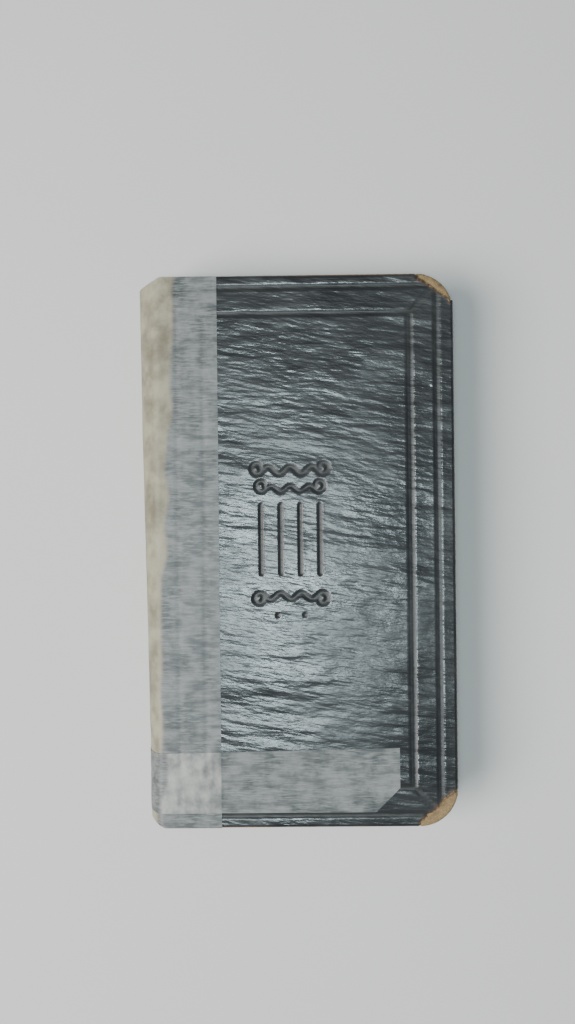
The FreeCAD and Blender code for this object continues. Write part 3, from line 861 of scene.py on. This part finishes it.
class Paint:
    """A node material: each method adds one node and returns its output."""

    def __init__(self, name, place="place"):
        self.material = bpy.data.materials.new(name)
        self.material.use_nodes = True
        self.tree = self.material.node_tree
        self.shader = self.tree.nodes["Principled BSDF"]
        if place == "place":
            self.place = self.attribute("place", "Vector")
        else:
            coordinates = self.tree.nodes.new("ShaderNodeTexCoord").outputs["Object"]
            self.place = self.scaled(1 / MM, 1 / MM, 1 / MM, coordinates)

    def node(self, kind, inputs, output=0, **settings):
        node = self.tree.nodes.new(kind)
        for name, setting in settings.items():
            setattr(node, name, setting)
        for key, value in inputs.items():
            if isinstance(value, bpy.types.NodeSocket):
                self.tree.links.new(value, node.inputs[key])
            elif value is not None:
                node.inputs[key].default_value = value
        return node.outputs[output]

    def attribute(self, name, output="Fac"):
        return self.node("ShaderNodeAttribute", {}, output, attribute_name=name)

    def scaled(self, x, y, z, vector=None):
        vector = self.place if vector is None else vector
        return self.node(
            "ShaderNodeVectorMath", {0: vector, 1: (x, y, z)}, "Vector", operation="MULTIPLY"
        )

    def turned(self, angle):
        return self.node(
            "ShaderNodeVectorRotate", {"Vector": self.place, "Angle": angle}, "Vector",
            rotation_type="Z_AXIS",
        )

    def noise(self, vector, scale=1.0, detail=4.0, roughness=0.55):
        return self.node(
            "ShaderNodeTexNoise",
            {"Vector": vector, "Scale": scale, "Detail": detail, "Roughness": roughness},
            "Fac",
        )

    def cells(self, vector, scale=1.0, feature="F1"):
        return self.node(
            "ShaderNodeTexVoronoi", {"Vector": vector, "Scale": scale}, "Distance", feature=feature
        )

    def math(self, operation, a, b=None, c=None, clamp=False):
        return self.node(
            "ShaderNodeMath", {0: a, 1: b, 2: c}, 0, operation=operation, use_clamp=clamp
        )

    def ramp(self, value, low, high, to_low=0.0, to_high=1.0):
        """The value moved from one range to another, with soft ends."""
        return self.node(
            "ShaderNodeMapRange",
            {"Value": value, "From Min": low, "From Max": high, "To Min": to_low, "To Max": to_high},
            "Result",
            interpolation_type="SMOOTHSTEP",
        )

    def mix(self, share, first, second, blend="MIX"):
        node = self.tree.nodes.new("ShaderNodeMix")
        node.data_type = "RGBA"
        node.blend_type = blend
        sockets = (node.inputs[0], node.inputs[6], node.inputs[7])
        for socket, value in zip(sockets, (share, first, second)):
            if isinstance(value, bpy.types.NodeSocket):
                self.tree.links.new(value, socket)
            elif isinstance(value, tuple):
                socket.default_value = (*value, 1)
            else:
                socket.default_value = value
        return node.outputs[2]

    def bump(self, height, distance, strength=1.0, below=None):
        inputs = {"Height": height, "Distance": distance * MM, "Strength": strength}
        if below is not None:
            inputs["Normal"] = below
        return self.node("ShaderNodeBump", inputs, "Normal")

    def finish(self, **inputs):
        for name, value in inputs.items():
            socket = self.shader.inputs[name.replace("_", " ")]
            if isinstance(value, bpy.types.NodeSocket):
                self.tree.links.new(value, socket)
            else:
                socket.default_value = (*value, 1) if isinstance(value, tuple) else value
        return self.material


def leather_material():
    paint = Paint("worn_black_leather")
    slanted = paint.turned(WRINKLE_SLANT)
    creases = paint.noise(paint.scaled(0.14, 0.55, 0.5, slanted), 1, 3, 0.42)
    streaks = paint.noise(paint.scaled(0.36, 1.35, 1.0, slanted), 1, 2, 0.45)
    grain = paint.cells(paint.scaled(1.6, 3.2, 2.2, slanted))
    pores = paint.noise(paint.scaled(2.2, 4.5, 3.0), 1, 3, 0.6)
    patches = paint.noise(paint.scaled(0.05, 0.06, 0.06), 1, 3)
    rub = paint.attribute("rub")
    ragged = paint.noise(paint.scaled(1.4, 1.4, 1.4), 1, 4, 0.7)
    bare = paint.ramp(paint.math("ADD", rub, paint.math("MULTIPLY_ADD", ragged, 0.9, -0.45)), 0.62, 0.9)
    brown = paint.ramp(rub, 0.12, 0.6)
    black = paint.mix(paint.ramp(patches, 0.35, 0.65), (0.012, 0.0135, 0.0145), (0.024, 0.026, 0.027))
    greyed = paint.mix(paint.ramp(creases, 0.55, 0.75, 0, 0.55), black, (0.04, 0.044, 0.046))
    # Painted shade: the tooled lines are darkened nearly to black according to their depth. Pressed
    # leather is somewhat darker; the rest stands in for shade in the grooves.
    pressed = paint.attribute("pressed")
    tooled = paint.ramp(pressed, 0.15, 0.8, 0, 0.45)
    greyed = paint.mix(tooled, greyed, (0.003, 0.0035, 0.0035))
    warm = paint.mix(brown, greyed, (0.06, 0.035, 0.022))
    colour = paint.mix(bare, warm, (0.25, 0.16, 0.08))
    shine = paint.ramp(patches, 0.3, 0.7, 0.17, 0.27)
    dull = paint.math("MULTIPLY_ADD", creases, 0.1, shine)
    dull = paint.math("ADD", dull, paint.ramp(pressed, 0.02, 0.4, 0, 0.25))
    rough = paint.math("MULTIPLY_ADD", rub, 0.4, dull, clamp=True)
    normal = paint.bump(creases, 0.33, 0.9)
    normal = paint.bump(streaks, 0.08, 0.9, normal)
    normal = paint.bump(grain, 0.015, 0.6, normal)
    normal = paint.bump(pores, 0.008, 0.6, normal)
    return paint.finish(
        Base_Color=colour, Roughness=rough, Normal=normal, Specular_IOR_Level=0.62,
        Coat_Weight=0.12, Coat_Roughness=0.3,
    )


def tape_material():
    """Old matt tape: grey where leather shows through, cream where it bends over the spine."""
    paint = Paint("old_adhesive_tape")
    tape_tone = paint.attribute("tape_tone")
    yellow = paint.ramp(tape_tone, 0.08, 0.62)
    double = paint.ramp(paint.math("MULTIPLY", tape_tone, -1.0), 0.1, 0.5)
    fibres = paint.noise(paint.scaled(0.35, 2.6, 1.0), 1, 4, 0.6)
    blotches = paint.noise(paint.scaled(0.16, 0.13, 0.13), 1, 4, 0.6)
    air = paint.noise(paint.scaled(0.14, 0.5, 0.4), 1, 3, 0.5)
    grey = paint.mix(paint.ramp(blotches, 0.34, 0.68), (0.05, 0.057, 0.057), (0.2, 0.208, 0.205))
    grey = paint.mix(paint.ramp(fibres, 0.36, 0.7, 0, 0.75), grey, (0.25, 0.256, 0.252))
    grey = paint.mix(paint.ramp(air, 0.46, 0.74, 0, 0.8), grey, (0.06, 0.067, 0.068))
    pale = paint.mix(paint.ramp(blotches, 0.33, 0.68), (0.15, 0.156, 0.15), (0.42, 0.417, 0.39))
    cream = paint.mix(paint.ramp(blotches, 0.3, 0.7), (0.17, 0.15, 0.1), (0.36, 0.33, 0.235))
    colour = paint.mix(double, grey, pale)
    colour = paint.mix(yellow, colour, cream)
    normal = paint.bump(fibres, 0.06, 0.5)
    normal = paint.bump(air, 0.1, 0.35, normal)
    rough = paint.ramp(blotches, 0.3, 0.7, 0.42, 0.56)
    return paint.finish(Base_Color=colour, Roughness=rough, Normal=normal, Specular_IOR_Level=0.45)


def board_material():
    """Layered straw board, soiled where it has been bare for years."""
    paint = Paint("bare_board")
    layers = paint.noise(paint.scaled(0.5, 0.5, 9.0), 1, 4, 0.6)
    fibres = paint.noise(paint.scaled(2.5, 2.5, 2.5), 1, 5, 0.7)
    soil = paint.noise(paint.scaled(0.45, 0.45, 0.45), 1, 3)
    tan = paint.mix(paint.ramp(fibres, 0.3, 0.7), (0.2, 0.13, 0.06), (0.36, 0.25, 0.125))
    tan = paint.mix(paint.ramp(layers, 0.45, 0.7, 0, 0.5), tan, (0.16, 0.095, 0.045))
    tan = paint.mix(paint.ramp(soil, 0.5, 0.75, 0, 0.6), tan, (0.09, 0.06, 0.035))
    normal = paint.bump(fibres, 0.12, 0.8)
    return paint.finish(Base_Color=tan, Roughness=0.85, Normal=normal)


def paper_material(name, pale, dark, tinted, place="place"):
    """Aged paper: edges soiled, faces foxed, each leaf of its own tone."""
    paint = Paint(name, place)
    streaks = paint.noise(paint.scaled(0.3, 0.12, 11.0), 1, 4, 0.65)
    cloud = paint.noise(paint.scaled(0.035, 0.035, 0.2), 1, 4)
    fox = paint.noise(paint.scaled(0.33, 0.33, 0.5), 1, 2, 0.4)
    fibre = paint.noise(paint.scaled(2.0, 2.0, 2.0), 1, 4, 0.6)
    colour = paint.mix(paint.ramp(cloud, 0.3, 0.7), dark, pale)
    colour = paint.mix(paint.ramp(streaks, 0.45, 0.75, 0, 0.5), colour, tuple(0.62 * c for c in dark))
    if tinted:
        tint = paint.ramp(paint.attribute("tint"), 0, 1, 0, 0.4)
        colour = paint.mix(tint, colour, tuple(0.8 * c for c in pale))
    colour = paint.mix(paint.ramp(fox, 0.66, 0.76, 0, 0.45), colour, (0.36, 0.2, 0.09))
    normal = paint.bump(fibre, 0.03, 0.5)
    normal = paint.bump(streaks, 0.04, 0.4, normal)
    return paint.finish(Base_Color=colour, Roughness=0.82, Normal=normal, Specular_IOR_Level=0.3)


def woven_material(name, light, dark, pitch, holes):
    """Plain weave, its threads crossing at right angles on the spine."""
    paint = Paint(name, "object")
    waves = []
    for scale in ((0, 1, 0), (0.7, 0, 1)):
        run = paint.node(
            "ShaderNodeTexWave",
            {"Vector": paint.scaled(*scale), "Scale": 0.5 / pitch, "Distortion": 0.4},
            "Fac",
            bands_direction="DIAGONAL",
        )
        waves.append(run)
    threads = paint.math("MAXIMUM" if holes else "MULTIPLY", waves[0], waves[1])
    fluff = paint.noise(paint.scaled(3, 3, 3), 1, 4, 0.7)
    colour = paint.mix(paint.ramp(threads, 0.2, 0.8), dark, light)
    colour = paint.mix(paint.ramp(fluff, 0.4, 0.7, 0, 0.3), colour, dark)
    normal = paint.bump(threads, 0.08, 0.8)
    return paint.finish(Base_Color=colour, Roughness=0.9, Normal=normal, Sheen_Weight=0.2)


def lining_material():
    paint = Paint("kraft_lining", "object")
    fibres = paint.noise(paint.scaled(1.5, 0.4, 1.5), 1, 5, 0.7)
    colour = paint.mix(paint.ramp(fibres, 0.3, 0.7), (0.2, 0.12, 0.06), (0.34, 0.22, 0.12))
    return paint.finish(Base_Color=colour, Roughness=0.85, Normal=paint.bump(fibres, 0.05))


def thread_material():
    paint = Paint("linen_thread", "object")
    twist = paint.node(
        "ShaderNodeTexWave", {"Vector": paint.scaled(1, 3, 1), "Scale": 1.6, "Distortion": 1.0}, "Fac"
    )
    colour = paint.mix(twist, (0.42, 0.35, 0.24), (0.7, 0.63, 0.48))
    return paint.finish(Base_Color=colour, Roughness=0.75, Normal=paint.bump(twist, 0.05))


def endband_material():
    paint = Paint("silk_endband")
    stripe = paint.attribute("stripe")
    dust = paint.noise(paint.scaled(2, 2, 2), 1, 3)
    colour = paint.mix(paint.ramp(stripe, 0.35, 0.65), (0.5, 0.43, 0.3), (0.2, 0.03, 0.03))
    colour = paint.mix(paint.ramp(dust, 0.4, 0.7, 0, 0.4), colour, (0.25, 0.2, 0.14))
    return paint.finish(Base_Color=colour, Roughness=0.6, Normal=paint.bump(dust, 0.03), Sheen_Weight=0.3)


def floor_material():
    paint = Paint("pale_floor", "object")
    mottle = paint.noise(paint.scaled(0.01, 0.01, 0.01), 1, 3)
    colour = paint.mix(mottle, (0.66, 0.65, 0.63), (0.7, 0.69, 0.67))
    distance = paint.node("ShaderNodeVectorMath", {0: paint.place}, "Value", operation="LENGTH")
    colour = paint.mix(paint.ramp(distance, 500, 2500), colour, (0.97, 0.97, 0.97))
    return paint.finish(Base_Color=colour, Roughness=0.9, Specular_IOR_Level=0.0)


# ------------------------------------------------------------------ pieces and what they move with


def add_leather():
    material = leather_material()
    for side in ("front", "back"):
        skin = cover_skin(side, material)
        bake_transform(skin)
        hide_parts(f"{side}_leather", "spine_leather")


def add_tapes():
    material = tape_material()
    for side in ("front", "back"):
        for make, kind in ((spine_tape, "spine_tape"), (tail_tape, "tail_tape")):
            strip = make(side, material)
            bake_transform(strip)
            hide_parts(f"{kind}_{side}_flap", f"{kind}_wrap")


def add_boards():
    material = board_material()
    for side in ("front", "back"):
        piece = board(side, material)
        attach(piece, f"{side}_cover")
        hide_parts(f"{side}_board")


def add_endpapers():
    material = paper_material("aged_endpaper", (0.66, 0.57, 0.4), (0.5, 0.4, 0.25), False)
    for side in ("front", "back"):
        piece = pastedown(side, material)
        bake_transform(piece)
        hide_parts(f"{side}_pastedown")
        leaf = flyleaf(side, material)
        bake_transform(leaf)
        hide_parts(f"{side}_flyleaf")


def add_sections():
    material = paper_material("aged_page_paper", (0.64, 0.55, 0.39), (0.44, 0.35, 0.22), True)
    for number in range(1, SECTIONS + 1):
        name = f"section_{number:02d}"
        piece = section(number, material)
        if f"{name}_leaves" in frame["bodies"]:
            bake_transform(piece)
        else:
            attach(piece, "text_block")
        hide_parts(name)


def add_endbands():
    material = endband_material()
    for sign, node in ((1, "head_endband"), (-1, "tail_endband")):
        piece = endband(sign, material)
        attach(piece, "text_block")
        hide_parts(node)


def paint_cad_nodes():
    linen = woven_material("linen_tape", (0.6, 0.52, 0.38), (0.3, 0.24, 0.16), 0.45, False)
    finishes = {
        "spine_lining": lining_material(),
        "spine_mull": woven_material("mull_cloth", (0.6, 0.55, 0.44), (0.2, 0.15, 0.1), 0.8, True),
        "sewing_thread": thread_material(),
    }
    for number in (1, 2, 3):
        finishes[f"sewing_tape_{number}"] = linen
    for name, material in finishes.items():
        node = frame["nodes"][name]
        if node.material_slots:
            for slot in node.material_slots:
                slot.material = material
        else:
            node.data.materials.append(material)


# ------------------------------------------------------------------ stage, in metres

FLOOR_REACH = 12
FLOOR_DROP = 0.0004  # clear of the relief of the back cover
SKY = (0.85, 0.92, 1, 1)
SKY_STRENGTH = 0.22
LIGHTS = {           # place, target, size, energy, colour
    "window": ((-0.028, -0.046, 0.52), (0, -0.01, 0.015), (0.13, 0.075), 1.28, (0.78, 0.96, 1)),
    "ceiling": ((0, 0.13, 0.52), (0, 0.02, 0.015), (0.22, 0.09), 0.06, (0.88, 0.96, 1)),
    "fill": ((-0.76, -0.2, 0.8), (0, 0, 0), (0.7, 0.7), 17.5, (1, 0.98, 0.95)),
}
LENS = 33.4
CAMERA_PLACE = (-0.0002, 0.0096, 0.2522)
CAMERA_TURN = (0.04, 0.7, -0.63)  # degrees


def add_floor():
    mesh = bpy.data.meshes.new("floor")
    corners = [(-1, -1), (1, -1), (1, 1), (-1, 1)]
    points = [(x * FLOOR_REACH, y * FLOOR_REACH, -FLOOR_DROP) for x, y in corners]
    mesh.from_pydata(points, [], [(0, 1, 2, 3)])
    mesh.materials.append(floor_material())
    floor = bpy.data.objects.new("floor", mesh)
    bpy.context.scene.collection.objects.link(floor)


def add_light(name, place, target, size, energy, colour):
    data = bpy.data.lights.new(name, "AREA")
    data.shape = "RECTANGLE"
    data.size, data.size_y = size
    data.energy = energy
    data.color = colour
    light = bpy.data.objects.new(name, data)
    light.location = place
    light.rotation_euler = (Vector(target) - Vector(place)).to_track_quat("-Z", "Y").to_euler()
    bpy.context.scene.collection.objects.link(light)


def add_lights():
    world = bpy.data.worlds.new("studio")
    bpy.context.scene.world = world
    world.use_nodes = True
    background = world.node_tree.nodes["Background"]
    background.inputs["Color"].default_value = SKY
    background.inputs["Strength"].default_value = SKY_STRENGTH
    for name, settings in LIGHTS.items():
        add_light(name, *settings)


def add_camera():
    """Looks almost straight down on the cover, as the book lies turned by half a degree."""
    data = bpy.data.cameras.new("camera")
    data.sensor_width = 36
    data.lens = LENS
    data.clip_start = 0.01
    camera = bpy.data.objects.new("camera", data)
    camera.location = CAMERA_PLACE
    camera.rotation_euler = [math.radians(angle) for angle in CAMERA_TURN]
    bpy.context.scene.collection.objects.link(camera)
    bpy.context.scene.camera = camera


add_camera()
add_lights()
add_floor()
add_leather()
add_tapes()
add_boards()
add_endpapers()
add_sections()
add_endbands()
paint_cad_nodes()
